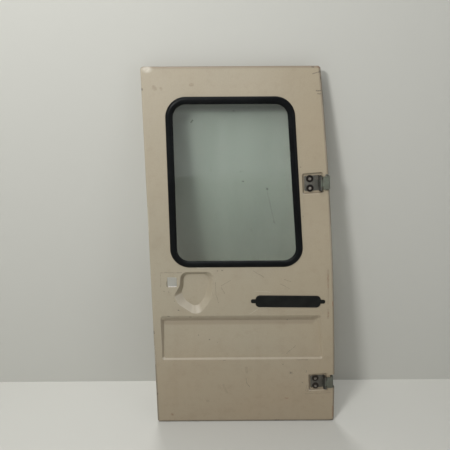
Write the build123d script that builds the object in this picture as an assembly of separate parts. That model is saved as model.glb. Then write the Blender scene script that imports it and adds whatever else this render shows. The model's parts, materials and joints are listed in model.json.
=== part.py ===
from build123d import *
import math
import os

# Rear barn door of a small van, in millimetres, seen from outside: the closing edge is at the left,
# the hinge edge at the right. X runs to the hinge edge, Y into the vehicle, Z up.

# Door outline
door_height = 1194.0
width_at_bottom = 620.0
width_at_top = 515.0
hinge_edge_bow = 16.5       # bulge of the hinge edge past the straight line between its corners
corner_radius = 9.0

# Pressed sheet of the outer skin
sheet = 1.0                 # thickness of every pressed sheet
edge_roll = 5.0             # radius where the face turns into the rim
rim_depth = 12.0            # how far the rim runs back
hem_width = 9.0             # rim's edge folded inwards, over the inner frame's flange
back_chamfer = 3.0          # along the inside of that roll
press_rim_radius = 3.0      # where the face turns into a pressed recess
press_floor_radius = 2.5    # where a recess's wall turns into its floor

# Window opening in the sheet; the seal reaches past it on both sides
window_sill = 591.5         # height of its lower edge, from which the places below are measured
window_top_margin = 95.0    # to the door's top
window_left = 77.5          # from the closing edge
window_margin_at_sill = 105.0   # to the hinge edge
window_margin_at_top = 95.7
window_corner_radius = 57.0

# Rubber seal and glass
glass_thickness = 4.0
glass_front = -1.0          # depth of the glass's outer face
seal_over_skin = 11.0       # width of the front lip over the sheet
seal_over_glass = 10.5      # width of the front lip over the glass
seal_lip_edge = 1.5         # thickness of the front lips at their edges
seal_bevel = 5.0            # how far the bevels run from the lips to the crest
seal_crest = 6.2            # how far the seal stands out from the face
seal_back_crest = 7.6       # depth that the seal's back reaches
seal_back_lip = 9.0         # width of each back lip
seal_web = 2.0              # rubber between the two grooves
groove_clearance = 0.3

# Number-plate recess; its right end leans like the hinge edge and its floor leans out at the bottom
plate_left = 25.5
plate_below_sill = 181.5
plate_height = 163.0
plate_margin_at_bottom = 38.1   # to the hinge edge
plate_margin_at_top = 45.4
plate_depth_at_top = 12.0
plate_depth_at_bottom = 5.0
plate_run_at_top = 22.0     # how far the sloping upper wall reaches in
plate_run_at_bottom = 5.0
plate_side_run_at_top = 11.0    # side walls, likewise
plate_side_run_at_bottom = 6.5
plate_corner_radius = 11.0
plate_floor_radius = 5.0

# Finger recess, shaped like a leaning shield: corners of its mouth and of its floor, from the closing
# edge and from the recess's upper side
shield_below_sill = 26.5
shield_depth = 17.0
shield_mouth = [(98, 0), (93, -47), (73.5, -83), (86, -112), (149, -157), (193, -99), (206, 0)]
shield_floor = [(104, -14), (103.5, -56), (97, -77), (106, -104), (145, -134), (176, -88), (189, -14)]
shield_mouth_radii = [24, 30, 10, 50, 28, 90, 24]
shield_floor_radii = [20, 30, 10, 40, 22, 70, 18]

# Square handle hole with its turned-in collar
handle_hole_along = 68.3
handle_hole_below_sill = 61.3
handle_hole_width = 30.0
handle_hole_height = 34.0
handle_hole_radius = 2.5
handle_collar_depth = 6.0

# Plain name bar on the face
bar_below_sill = 131.0
bar_margin = 29.7           # from the lug's end to the hinge edge
bar_length = 212.0
bar_height = 41.0
bar_thickness = 4.0
bar_corner_radius = 14.0
bar_chamfer = 1.6
bar_tilt = -0.8             # degrees
bar_lug_reach = 15.0        # end lugs past the bar
bar_lug_height = 13.0
bar_lug_radius = 5.2
bar_lug_thickness = 2.0

# Hinge axis: leans in the door's plane, with its top towards the closing edge
upper_hinge_from_top = 340.5
lower_hinge_below_plate = 88.3
upper_axis_margin = 28.1    # from the axis to the hinge edge
lower_axis_margin = 34.8
axis_proud = 7.0            # axis in front of the face

# Hinge pocket pressed in the skin, from the axis
pocket_reach = 53.5         # towards the closing edge
pocket_past_axis = 9.0
pocket_height = 64.0
pocket_depth = 8.0
pocket_wall_run = 3.0
pocket_corner_radius = 6.0
pocket_rim_chamfer = 1.5

# Hinge leaves, knuckles and pins
leaf_thickness = 4.0
leaf_reach = 47.5           # door leaf from the axis, towards the closing edge
leaf_height = 46.0
leaf_corner_radius = 4.0
leaf_chamfer = 0.8
knuckle_radius = 6.0
pin_radius = 3.5
pin_clearance = 0.05
pin_end = 2.5               # pin past the knuckles at each end
knuckle_stack = 44.0        # length of the three knuckles together
middle_knuckle = 21.0       # the pillar leaf's knuckle
knuckle_gap = 0.5
web_past_axis = 2.0         # the door leaf's upright web beside the pin
strap_height = 40.0
strap_start = 8.0           # where the strap gets its full height, from the axis
strap_reach = 29.0          # from the axis to the pillar face
strap_bend_radius = 6.0
leg_depth = 30.0            # leg's end behind the face
leg_bolt_depth = 14.0
leg_bolt_spacing = 22.0
leg_bolt_radius = 4.25
leg_clearance = 5.0         # free space round the leg in the notch of the door's edge
notch_past_hem = 3.0        # the notch reaches at least so far inside the hem

# Tapping plate behind each pocket
tapping_thickness = 3.0
tapping_margin = 2.0        # past the leaf's height on each side

# Inner frame, one pressed tray in seven welded members
inner_depth = 38.0          # depth of the frame's back face
frame_inset = 18.0          # from the door's edge to the tray's side
frame_wall_run = 6.0        # how far the tray's sides lean in
frame_corner_radius = 26.0
flange_gap = 0.4            # between the frame's flange and the rim
well_seat = 12.0            # flat flange round the window opening
well_wall_run = 17.0        # how far the window well's sides lean out
closing_post_width = 46.0   # lower closing post, from the door's edge to the opening
hinge_post_at_top = 92.6    # lower hinge post, likewise
hinge_post_at_bottom = 104.9
bottom_rail_height = 84.0
waist_rail_height = 59.5    # from the window opening down to the lower opening
opening_corner_radius = 38.0
bay_height = 25.0           # bay in the opening's upper edge, behind the handle hole
bay_width = 62.0
bay_corner_radius = 14.0
opening_lip = 9.0           # edge of the opening turned in

# Latch in the closing post
latch_below_sill = 136.5
latch_case_height = 84.0
latch_case_width = 34.0
latch_case_depth = 26.0
latch_case_radius = 3.0
latch_clearance = 1.0       # to the closing post and the opening's lip
latch_slot_height = 14.0
latch_slot_reach = 16.0     # slot's end inside the case
latch_slot_depth = 24.0     # slot's depth from the frame's back face
claw_clearance = 0.3
claw_radius = 11.0
claw_thickness = 6.0
claw_pivot_radius = 4.0

# Bowed hinge edge: a circle through both corners
chord = math.hypot(width_at_bottom - width_at_top, door_height)
edge_radius = (chord**2 / 4 + hinge_edge_bow**2) / (2 * hinge_edge_bow)
edge_back = edge_radius - hinge_edge_bow
edge_centre_x = (width_at_bottom + width_at_top) / 2 - edge_back * door_height / chord
edge_centre_z = door_height / 2 - edge_back * (width_at_bottom - width_at_top) / chord


def hinge_edge(height, inset=0.0):
    """Distance from the closing edge to the bowed hinge edge at a height, moved inwards by inset."""
    return edge_centre_x + math.sqrt((edge_radius - inset) ** 2 - (height - edge_centre_z) ** 2)


# Places that follow from the driving dimensions
window_top = door_height - window_top_margin
plate_top = window_sill - plate_below_sill
plate_bottom = plate_top - plate_height
shield_top = window_sill - shield_below_sill
handle_hole_up = window_sill - handle_hole_below_sill
bar_up = window_sill - bar_below_sill
bar_along = hinge_edge(bar_up) - bar_margin - bar_lug_reach - bar_length / 2
latch_height = window_sill - latch_below_sill
latch_case_left = frame_inset + frame_wall_run + sheet + latch_clearance
latch_slot_end = latch_case_left + latch_slot_reach
opening_top = window_sill - waist_rail_height
upper_hinge_height = door_height - upper_hinge_from_top
lower_hinge_height = plate_bottom - lower_hinge_below_plate
hinge_heights = (upper_hinge_height, lower_hinge_height)
upper_hinge_along = hinge_edge(upper_hinge_height) - upper_axis_margin
lower_hinge_along = hinge_edge(lower_hinge_height) - lower_axis_margin
axis_slope = (lower_hinge_along - upper_hinge_along) / (upper_hinge_height - lower_hinge_height)
axis_tilt = math.atan(axis_slope)
two_sheets = 2 * sheet
blank_depth = max(rim_depth, plate_depth_at_top, shield_depth, pocket_depth) + two_sheets
face_tolerance = 0.01       # for picking edges by their depth


def at_depth(depth):
    """Plane parallel to the door's face, so far behind it, with X to the right and Z up."""
    return Plane(origin=(0, depth, 0), x_dir=(1, 0, 0), z_dir=(0, -1, 0))


def push_back(face, depth):
    """Solid made by pushing a face that lies parallel to the door into the vehicle."""
    return extrude(face, amount=depth, dir=(0, 1, 0))


def plate_floor_plane(grow=0.0):
    """Plane of the leaning floor of the number-plate recess, moved back by grow; Z counts from its foot."""
    rise = plate_height - plate_run_at_top - plate_run_at_bottom
    lean = math.atan2(plate_depth_at_top - plate_depth_at_bottom, rise)
    foot = (0, plate_depth_at_bottom + grow, plate_bottom + plate_run_at_bottom)
    return Plane(origin=foot, x_dir=(1, 0, 0), z_dir=(0, -math.cos(lean), math.sin(lean)))


def edges_at(solid, depth):
    """Edges of a solid that lie at a depth behind the door's face."""
    return solid.edges().filter_by_position(Axis.Y, depth - face_tolerance, depth + face_tolerance)


def door_face(inset, radius, depth):
    """Door outline moved inwards by inset, with rounded corners, at a depth."""
    low = inset
    high = door_height - inset
    middle = door_height / 2
    foot = (hinge_edge(low, inset), low)
    head = (hinge_edge(high, inset), high)
    sides = Polyline(head, (inset, high), (inset, low), foot)
    bow = ThreePointArc(foot, (hinge_edge(middle, inset), middle), head)
    face = make_face(sides.edges() + bow.edges())
    return at_depth(depth) * fillet(face.vertices(), radius)


def moved_out(corners, grow):
    """Corners of a polygon, listed anticlockwise, with every side moved outwards by grow."""
    result = []
    for before, corner, after in zip(corners[-1:] + corners[:-1], corners, corners[1:] + corners[:1]):
        first = (Vector(*corner) - Vector(*before)).normalized()
        second = (Vector(*after) - Vector(*corner)).normalized()
        outward = Vector(first.Y, -first.X) + Vector(second.Y, -second.X)
        shift = outward * (grow / (1 + first.dot(second)))
        result.append((corner[0] + shift.X, corner[1] + shift.Y))
    return result


def bends_in(before, corner, after):
    """Whether an anticlockwise outline turns inwards at a corner."""
    first = Vector(*corner) - Vector(*before)
    second = Vector(*after) - Vector(*corner)
    return first.cross(second).Z < 0


def rounded_outline(corners, radii, grow=0.0):
    """Flat rounded polygon, listed anticlockwise and moved outwards by grow."""
    around = list(zip(corners[-1:] + corners[:-1], corners, corners[1:] + corners[:1]))
    grown = [radius + (-grow if bends_in(*three) else grow) for radius, three in zip(radii, around)]
    outline = FilletPolyline(*moved_out(corners, grow), radius=grown, close=True)
    return make_face(outline.edges())


def rounded_face(corners, radii, depth, grow=0.0):
    """The same polygon at a depth behind the door's face."""
    return at_depth(depth) * rounded_outline(corners, radii, grow)


def window_face(depth, grow=0.0):
    """Window opening moved outwards by grow, at a depth."""
    right_at_sill = hinge_edge(window_sill) - window_margin_at_sill
    right_at_top = hinge_edge(window_top) - window_margin_at_top
    corners = [
        (window_left, window_top),
        (window_left, window_sill),
        (right_at_sill, window_sill),
        (right_at_top, window_top),
    ]
    return rounded_face(corners, [window_corner_radius] * 4, depth, grow)


def hinge_plane(height):
    """Plane on the hinge axis at a hinge: X to the hinge edge, Y into the vehicle, Z up the axis."""
    along = upper_hinge_along + (upper_hinge_height - height) * axis_slope
    lean = (math.cos(axis_tilt), 0, math.sin(axis_tilt))
    return Plane(origin=(along, -axis_proud, height), x_dir=lean, z_dir=(-lean[2], 0, lean[0]))


def hinge_corners(height, left, right, tall):
    """Corners, anticlockwise, of a rectangle turned with the hinge axis, as places on the door's face."""
    plane = hinge_plane(height)
    local = [(left, tall / 2), (left, -tall / 2), (right, -tall / 2), (right, tall / 2)]
    places = [plane.from_local_coords(Vector(along, 0, up)) for along, up in local]
    return [(place.X, place.Z) for place in places]


def pressed_plug(mouth, floor, mouth_radii, floor_radii, floor_plane):
    """Volume of a pressed recess from its mouth on the face to its floor, with rounded corners."""
    upper = rounded_face(mouth, mouth_radii, 0)
    lower = floor_plane * rounded_outline(floor, floor_radii)
    return loft([upper, lower], ruled=True)


def plain_plug(mouth, floor, floor_plane):
    """The same volume one sheet larger, with plain corners: how it stands out at the sheet's back."""
    upper = make_face(Polyline(*moved_out(mouth, sheet), close=True).edges())
    lower = make_face(Polyline(*moved_out(floor, sheet), close=True).edges())
    return loft([at_depth(0) * upper, floor_plane * lower], ruled=True)


def plate_corners():
    """Mouth and floor corners of the number-plate recess; the floor's height counts from its foot."""
    right_at_bottom = hinge_edge(plate_bottom) - plate_margin_at_bottom
    right_at_top = hinge_edge(plate_top) - plate_margin_at_top
    floor_height = plate_height - plate_run_at_top - plate_run_at_bottom
    mouth = [
        (plate_left, plate_top),
        (plate_left, plate_bottom),
        (right_at_bottom, plate_bottom),
        (right_at_top, plate_top),
    ]
    floor = [
        (plate_left + plate_side_run_at_top, floor_height),
        (plate_left + plate_side_run_at_bottom, 0),
        (right_at_bottom - plate_side_run_at_bottom, 0),
        (right_at_top - plate_side_run_at_top, floor_height),
    ]
    return mouth, floor


def shield_corners():
    """Mouth and floor corners of the finger recess: steep beside the handle hole, gentle opposite."""
    mouth = [(along, shield_top + up) for along, up in shield_mouth]
    floor = [(along, shield_top + up) for along, up in shield_floor]
    return mouth, floor


def pocket_corners(height):
    """Mouth and floor corners of the pocket that takes a hinge's door leaf."""
    mouth = hinge_corners(height, -pocket_reach, pocket_past_axis, pocket_height)
    return mouth, moved_out(mouth, -pocket_wall_run)


def rim_edges(block, plug):
    """Edges on the block's front where a recess was cut."""
    box = plug.bounding_box()
    return [
        edge
        for edge in edges_at(block, 0)
        if box.min.X < edge.center().X < box.max.X and box.min.Z < edge.center().Z < box.max.Z
    ]


def skin_front():
    """Door-shaped block with a rolled edge and all recesses in its front, their edges rounded."""
    block = push_back(door_face(0, corner_radius, 0), blank_depth)
    block = fillet(edges_at(block, 0), edge_roll)
    plate_radii = [plate_corner_radius] * 4
    plate_floor_radii = [plate_floor_radius] * 4
    plate = pressed_plug(*plate_corners(), plate_radii, plate_floor_radii, plate_floor_plane())
    shield_floor_plane = at_depth(shield_depth)
    shield = pressed_plug(*shield_corners(), shield_mouth_radii, shield_floor_radii, shield_floor_plane)
    for plug in (plate, shield):
        floor = plug.faces().sort_by(Axis.Y)[-1]
        block -= fillet(floor.edges(), press_floor_radius)
        block = fillet(rim_edges(block, plug), press_rim_radius)
    pocket_radii = [pocket_corner_radius] * 4
    pocket_floor_radii = [pocket_corner_radius - pocket_wall_run] * 4
    pocket_floor = at_depth(pocket_depth)
    for height in hinge_heights:
        plug = pressed_plug(*pocket_corners(height), pocket_radii, pocket_floor_radii, pocket_floor)
        block -= plug
        block = chamfer(rim_edges(block, plug), pocket_rim_chamfer)
    return block


def skin_back():
    """The same block one sheet further in, with plain edges: the inside of the pressed sheet."""
    block = push_back(door_face(sheet, corner_radius - sheet, sheet), blank_depth - sheet)
    block = chamfer(edges_at(block, sheet), back_chamfer)
    block -= plain_plug(*plate_corners(), plate_floor_plane(sheet))
    block -= plain_plug(*shield_corners(), at_depth(shield_depth + sheet))
    for height in hinge_heights:
        block -= plain_plug(*pocket_corners(height), at_depth(pocket_depth + sheet))
    return block


def leg_notch(height):
    """Space in the door's edge that a hinge's leg needs, cut through the hem."""
    plane = hinge_plane(height)
    hem_inside = hinge_edge(height) - hem_width - plane.origin.X
    start = min(strap_reach - leaf_thickness - leg_clearance, hem_inside - notch_past_hem)
    reach = 2 * strap_reach
    tall = strap_height + 2 * leg_clearance
    deep = 2 * (leg_depth + axis_proud)
    return plane * Pos(start + reach / 2, 0, 0) * Box(reach, deep, tall)


def handle_hole_face(depth, grow=0.0):
    """Square handle hole moved outwards by grow."""
    left = handle_hole_along - handle_hole_width / 2
    right = handle_hole_along + handle_hole_width / 2
    low = handle_hole_up - handle_hole_height / 2
    high = handle_hole_up + handle_hole_height / 2
    corners = [(left, high), (left, low), (right, low), (right, high)]
    return rounded_face(corners, [handle_hole_radius] * 4, depth, grow)


def make_outer_skin():
    """One pressed sheet: face, recesses, rolled rim and hem."""
    skin = skin_front() - skin_back()
    past_rim = blank_depth - rim_depth
    outside = push_back(door_face(0, corner_radius, rim_depth), past_rim)
    skin -= outside - push_back(door_face(hem_width, corner_radius, rim_depth), past_rim)
    hem_front = rim_depth - sheet
    half = sheet / 2
    hem = push_back(door_face(half, corner_radius - half, hem_front), sheet)
    skin += hem - push_back(door_face(hem_width, corner_radius, hem_front), sheet)
    skin += push_back(handle_hole_face(half, sheet), handle_collar_depth - half)
    skin -= push_back(handle_hole_face(-sheet), handle_collar_depth + two_sheets)
    skin -= push_back(window_face(-sheet), two_sheets + sheet)
    for height in hinge_heights:
        skin -= leg_notch(height)
    return skin


def make_glass():
    """Flat pane, its edge inside the seal's inner groove."""
    return push_back(window_face(glass_front, -(seal_web + 2 * groove_clearance)), glass_thickness)


def make_seal():
    """Rubber profile carried round the window opening: one groove grips the sheets, the other the glass."""
    glass_back = glass_front + glass_thickness
    outer_groove = -groove_clearance
    inner_groove = outer_groove - seal_web
    half_back = seal_back_lip / 2
    profile = Polyline(
        (seal_over_skin, 0),
        (outer_groove, 0),
        (outer_groove, two_sheets),
        (seal_back_lip, two_sheets),
        (half_back, seal_back_crest),
        (-half_back, seal_back_crest),
        (-seal_back_lip - seal_web, glass_back),
        (inner_groove, glass_back),
        (inner_groove, glass_front),
        (-seal_over_glass, glass_front),
        (-seal_over_glass, glass_front - seal_lip_edge),
        (seal_bevel - seal_over_glass, -seal_crest),
        (seal_over_skin - seal_bevel, -seal_crest),
        (seal_over_skin, -seal_lip_edge),
        close=True,
    )
    middle = (window_sill + window_top) / 2
    across = Plane(origin=(window_left, 0, middle), x_dir=(-1, 0, 0), z_dir=(0, 0, -1))
    section = across * make_face(profile.edges())
    return sweep(section, path=window_face(0).face().outer_wire())


def make_name_bar():
    """Plain bar with rounded corners and a small lug at each end."""
    bar = RectangleRounded(bar_length, bar_height, bar_corner_radius)
    lugs = RectangleRounded(bar_length + 2 * bar_lug_reach, bar_lug_height, bar_lug_radius)
    seat = Plane(origin=(bar_along, 0, bar_up), x_dir=(1, 0, 0), z_dir=(0, -1, 0)) * Rot(0, 0, bar_tilt)
    body = extrude(seat * bar, amount=bar_thickness)
    body = chamfer(edges_at(body, -bar_thickness), bar_chamfer)
    return body + extrude(seat * lugs, amount=bar_lug_thickness)


def knuckle_spans():
    """Low and high ends, along the axis, of the door leaf's two outer knuckles."""
    inner = middle_knuckle / 2 + knuckle_gap
    outer = knuckle_stack / 2
    return [(-outer, -inner), (inner, outer)]


def make_door_leaf(height):
    """Plate in the pocket with two knuckles on upright webs at its end."""
    plate_back = pocket_depth + axis_proud
    length = leaf_reach + web_past_axis
    plate = RectangleRounded(length, leaf_height, leaf_corner_radius)
    seat = Plane(origin=(web_past_axis - length / 2, plate_back, 0), x_dir=(1, 0, 0), z_dir=(0, -1, 0))
    leaf = extrude(seat * plate, amount=leaf_thickness)
    leaf = chamfer(edges_at(leaf, plate_back - leaf_thickness), leaf_chamfer)
    web = Polyline(
        (-knuckle_radius, 0),
        (-knuckle_radius, plate_back),
        (web_past_axis, plate_back),
        (web_past_axis, 0),
        close=True,
    )
    outline = make_face(web.edges()) + Circle(knuckle_radius)
    for low, high in knuckle_spans():
        leaf += Pos(0, 0, low) * extrude(outline, amount=high - low)
    leaf -= Cylinder(pin_radius + pin_clearance, 2 * knuckle_stack)
    return hinge_plane(height) * leaf


def make_pillar_leaf(height):
    """Knuckle, strap over the door's edge and a leg turned back along the pillar, with two bolt holes."""
    half = leaf_thickness / 2
    leg_end = leg_depth + axis_proud
    leg_inner = strap_reach - leaf_thickness
    outline = Polyline(
        (0, -half),
        (0, half),
        (leg_inner, half),
        (leg_inner, leg_end),
        (strap_reach, leg_end),
        (strap_reach, -half),
        close=True,
    )
    profile = make_face(outline.edges())
    bend_outer = profile.vertices().sort_by_distance((strap_reach, -half))[0]
    profile = fillet(bend_outer, strap_bend_radius)
    bend_inner = profile.vertices().sort_by_distance((leg_inner, half))[0]
    profile = fillet(bend_inner, strap_bend_radius - leaf_thickness)
    leaf = Pos(0, 0, -strap_height / 2) * extrude(profile, amount=strap_height)
    beside = (strap_height - middle_knuckle) / 2
    for side in (-1, 1):
        middle = side * (middle_knuckle + beside) / 2
        leaf -= Pos(0, 0, middle) * Box(2 * strap_start, 4 * knuckle_radius, beside)
    leaf += Cylinder(knuckle_radius, middle_knuckle)
    leaf -= Cylinder(pin_radius + pin_clearance, 2 * knuckle_stack)
    for side in (-1, 1):
        hole = Rot(0, 90, 0) * Cylinder(leg_bolt_radius, 4 * leaf_thickness)
        leaf -= Pos(strap_reach, leg_bolt_depth + axis_proud, side * leg_bolt_spacing / 2) * hole
    return hinge_plane(height) * leaf


def make_pin(height):
    """Straight pin, a little longer than the knuckles."""
    return hinge_plane(height) * Cylinder(pin_radius, knuckle_stack + 2 * pin_end)


def make_tapping_plate(height):
    """Thick plate behind the pocket, where the hinge bolts have their threads."""
    corners = hinge_corners(height, -leaf_reach, -web_past_axis, leaf_height + 2 * tapping_margin)
    face = make_face(Polyline(*corners, close=True).edges())
    return push_back(at_depth(pocket_depth + sheet) * face, tapping_thickness)


def opening_face(depth, grow=0.0):
    """Lower opening of the inner frame with its bay behind the handle hole, moved outwards by grow."""
    right_at_bottom = hinge_edge(bottom_rail_height) - hinge_post_at_bottom
    right_at_top = hinge_edge(opening_top) - hinge_post_at_top
    bay_top = opening_top + bay_height
    bay_right = closing_post_width + bay_width
    corners = [
        (closing_post_width, bay_top),
        (closing_post_width, bottom_rail_height),
        (right_at_bottom, bottom_rail_height),
        (right_at_top, opening_top),
        (bay_right, opening_top),
        (bay_right, bay_top),
    ]
    wide = opening_corner_radius
    small = bay_corner_radius
    return rounded_face(corners, [small, wide, wide, wide, small - two_sheets, small], depth, grow)


def tray_block(grow):
    """Volume inside the inner frame's tray, every side moved inwards by grow; the sides lean in."""
    flange_front = rim_depth - two_sheets
    back = inner_depth - grow
    face = door_face(frame_inset + grow, frame_corner_radius - grow, flange_front)
    block = push_back(face, back - flange_front)
    back_face = block.faces().sort_by(Axis.Y)[-1]
    lean = inner_depth - rim_depth
    return chamfer(back_face.edges(), frame_wall_run, lean, reference=back_face)


def well_block(grow):
    """Volume of the window well from the skin to the frame's back, every side moved outwards by grow."""
    face = window_face(sheet, well_seat + well_wall_run + grow)
    block = push_back(face, inner_depth - sheet)
    front_face = block.faces().sort_by(Axis.Y)[0]
    lean = inner_depth - two_sheets
    return chamfer(front_face.edges(), well_wall_run, lean, reference=front_face)


def make_inner_frame():
    """Pressed tray with a flange in the hem, a well round the window and an opening below it."""
    flange_front = rim_depth - two_sheets
    edge_gap = sheet + flange_gap
    flange = push_back(door_face(edge_gap, corner_radius - edge_gap, flange_front), sheet)
    flange -= push_back(door_face(frame_inset + sheet, frame_corner_radius - sheet, flange_front), sheet)
    well = well_block(0)
    frame = tray_block(0) - tray_block(sheet) - well + flange
    frame += well_block(sheet) - well
    frame += push_back(window_face(sheet, well_seat + sheet), sheet)
    frame -= push_back(window_face(0), two_sheets + sheet)
    lip_front = inner_depth - opening_lip
    frame += push_back(opening_face(lip_front, sheet), opening_lip)
    frame -= push_back(opening_face(lip_front - sheet), opening_lip + two_sheets)
    for height in hinge_heights:
        frame -= leg_notch(height)
    return frame - latch_space() - latch_slot()


def latch_space():
    """Room for the latch case in front of the closing post's back, where the opening's lip stops."""
    width = latch_case_width + latch_clearance
    tall = latch_case_height + 2 * latch_clearance
    back = inner_depth - sheet
    across = latch_case_left + width / 2
    return Pos(across, back - latch_case_depth / 2, latch_height) * Box(width, latch_case_depth, tall)


def latch_slot():
    """Slot for the striker, open at the closing edge and at the back."""
    deep = 2 * latch_slot_depth
    middle = Pos(latch_slot_end / 2, inner_depth, latch_height)
    return middle * Box(latch_slot_end, deep, latch_slot_height)


def member(frame, low, high, left, right):
    """Part of the inner frame between two heights and two distances from the closing edge."""
    middle = Pos((left + right) / 2, inner_depth / 2, (low + high) / 2)
    return frame & (middle * Box(right - left, 2 * inner_depth, high - low))


def make_frame_members():
    """The seven welded members of the inner frame, by name."""
    frame = make_inner_frame()
    window_low = window_sill + window_corner_radius
    window_high = window_top - window_corner_radius
    split = width_at_top / 2
    full = width_at_bottom
    return {
        "inner_header": member(frame, window_high, door_height, 0, full),
        "inner_closing_window_post": member(frame, window_low, window_high, 0, split),
        "inner_hinge_window_post": member(frame, window_low, window_high, split, full),
        "inner_waist_rail": member(frame, opening_top, window_low, 0, full),
        "inner_closing_lower_post": member(frame, bottom_rail_height, opening_top, 0, split),
        "inner_hinge_lower_post": member(frame, bottom_rail_height, opening_top, split, full),
        "inner_bottom_rail": member(frame, 0, bottom_rail_height, 0, full),
    }


def make_latch_case():
    """Closed latch box against the closing post's back, with the striker slot through it."""
    back = inner_depth - sheet
    centre = Pos(latch_case_left + latch_case_width / 2, back - latch_case_depth / 2, latch_height)
    case = centre * Box(latch_case_width, latch_case_depth, latch_case_height)
    upright = case.edges().filter_by(Axis.Y)
    return fillet(upright, latch_case_radius) - latch_slot()


def make_latch_claw():
    """Claw plate on its pivot across the slot, with a mouth for the striker."""
    plate = Cylinder(claw_radius, claw_thickness)
    mouth = Pos(-claw_radius / 2, claw_radius / 2, 0) * Box(claw_radius, claw_radius, 2 * claw_thickness)
    pivot = Cylinder(claw_pivot_radius, latch_slot_height)
    claw = plate - mouth + pivot
    across = latch_slot_end - claw_radius - claw_clearance
    deep = inner_depth - latch_slot_depth + claw_radius + claw_clearance
    return Pos(across, deep, latch_height) * claw


def held_place():
    """Middle of the lower hinge's pillar face, between its bolt holes: the part's origin."""
    local = Vector(strap_reach, leg_bolt_depth + axis_proud, 0)
    return hinge_plane(lower_hinge_height).from_local_coords(local)


pieces = {
    "outer_skin": make_outer_skin(),
    "window_glass": make_glass(),
    "window_seal": make_seal(),
    "name_bar": make_name_bar(),
    "latch_case": make_latch_case(),
    "latch_claw": make_latch_claw(),
}
pieces.update(make_frame_members())
for place, height in (("upper", upper_hinge_height), ("lower", lower_hinge_height)):
    pieces[f"{place}_hinge_door_leaf"] = make_door_leaf(height)
    pieces[f"{place}_hinge_pillar_leaf"] = make_pillar_leaf(height)
    pieces[f"{place}_hinge_pin"] = make_pin(height)
    pieces[f"{place}_hinge_tapping_plate"] = make_tapping_plate(height)

os.makedirs("parts", exist_ok=True)
to_origin = Pos(*(held_place() * -1))
for name, piece in pieces.items():
    export_step(to_origin * piece, f"parts/{name}.step")
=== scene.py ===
import json
import math

import bmesh
import bpy
import numpy as np
from mathutils import Matrix, Vector


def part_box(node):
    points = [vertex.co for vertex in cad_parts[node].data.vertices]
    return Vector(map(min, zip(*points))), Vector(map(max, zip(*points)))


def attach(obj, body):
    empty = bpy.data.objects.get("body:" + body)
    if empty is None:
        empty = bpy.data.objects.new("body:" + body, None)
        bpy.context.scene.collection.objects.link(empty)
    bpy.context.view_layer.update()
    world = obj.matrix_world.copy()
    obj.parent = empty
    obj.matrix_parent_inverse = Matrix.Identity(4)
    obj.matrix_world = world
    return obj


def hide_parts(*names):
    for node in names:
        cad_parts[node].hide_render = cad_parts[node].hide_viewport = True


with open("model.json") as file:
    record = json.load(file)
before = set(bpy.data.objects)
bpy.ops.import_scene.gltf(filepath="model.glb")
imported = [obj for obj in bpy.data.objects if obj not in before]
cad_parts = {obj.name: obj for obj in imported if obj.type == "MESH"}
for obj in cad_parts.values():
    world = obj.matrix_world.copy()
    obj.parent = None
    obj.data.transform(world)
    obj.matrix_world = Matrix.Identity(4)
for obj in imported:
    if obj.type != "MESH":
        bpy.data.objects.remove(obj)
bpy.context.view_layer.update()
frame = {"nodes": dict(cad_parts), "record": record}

# Outer skin: one pressed steel sheet, rolled at its edge and folded over the inner frame behind it. It is
# sprayed beige over grey primer and has aged: bleached high up, grimy low down, scratched, chipped, rusty.
MM = 0.001
skin_low, skin_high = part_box("outer_skin")
door_height, width_at_foot, width_at_head, edge_bow = 1194.0, 620.0, 515.0, 16.5
chord = math.hypot(width_at_foot - width_at_head, door_height)
edge_radius = (chord**2 / 4 + edge_bow**2) / (2 * edge_bow)
edge_back = edge_radius - edge_bow
edge_centre_along = (width_at_foot + width_at_head) / 2 - edge_back * door_height / chord
edge_centre_up = door_height / 2 - edge_back * (width_at_foot - width_at_head) / chord
paint_beige = (0.318, 0.282, 0.208, 1)
paint_bleached = (0.362, 0.318, 0.240, 1)
# The grime colour is also used for painted shade.
grime_and_shade = (0.216, 0.172, 0.120, 1)
yellowed_tint = (1.01, 0.955, 0.895)
mark_dark = (0.070, 0.056, 0.042, 1)
mark_rust = (0.205, 0.100, 0.052, 1)
# The pale mark colour is also used for painted highlights.
pale_mark_and_highlight = (0.560, 0.520, 0.440, 1)
rim_darkening = (0.120, 0.100, 0.072, 1)


def add(tree, kind, inputs=None, **settings):
    """Adds a shader node, sets its options and fills its inputs with values or other nodes' outputs."""
    made = tree.nodes.new("ShaderNode" + kind)
    for name, value in settings.items():
        setattr(made, name, value)
    for key, value in (inputs or {}).items():
        if isinstance(value, bpy.types.NodeSocket):
            tree.links.new(value, made.inputs[key])
        else:
            made.inputs[key].default_value = value
    return made


def vector(tree, operation, *values):
    """Vector that one vector arithmetic node works out."""
    return add(tree, "VectorMath", dict(enumerate(values)), operation=operation).outputs[0]


def new_group(name, inputs, outputs):
    """Starts a node group from the names and kinds of its sockets; returns its tree, inlets and outlets."""
    tree = bpy.data.node_groups.new(name, "ShaderNodeTree")
    for way, sockets in (("INPUT", inputs), ("OUTPUT", outputs)):
        for label, kind in sockets.items():
            tree.interface.new_socket(label, in_out=way, socket_type="NodeSocket" + kind)
    return tree, tree.nodes.new("NodeGroupInput").outputs, tree.nodes.new("NodeGroupOutput").inputs


# Distance from the door's lower closing corner, in metres, shared by every finish on the door.
door_place, _, leave = new_group("door_place", {}, {"Place": "Vector"})
spot = add(door_place, "TexCoord").outputs["Object"]
door_place.links.new(vector(door_place, "SUBTRACT", spot, skin_low), leave["Place"])


def measure(tree, operation, *values):
    """Number that one vector arithmetic node works out, such as a distance."""
    return add(tree, "VectorMath", dict(enumerate(values)), operation=operation).outputs["Value"]


def calc(tree, operation, *values, clamp=False):
    """Number that one arithmetic node works out from numbers or other nodes' outputs."""
    return add(tree, "Math", dict(enumerate(values)), operation=operation, use_clamp=clamp).outputs[0]


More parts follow.
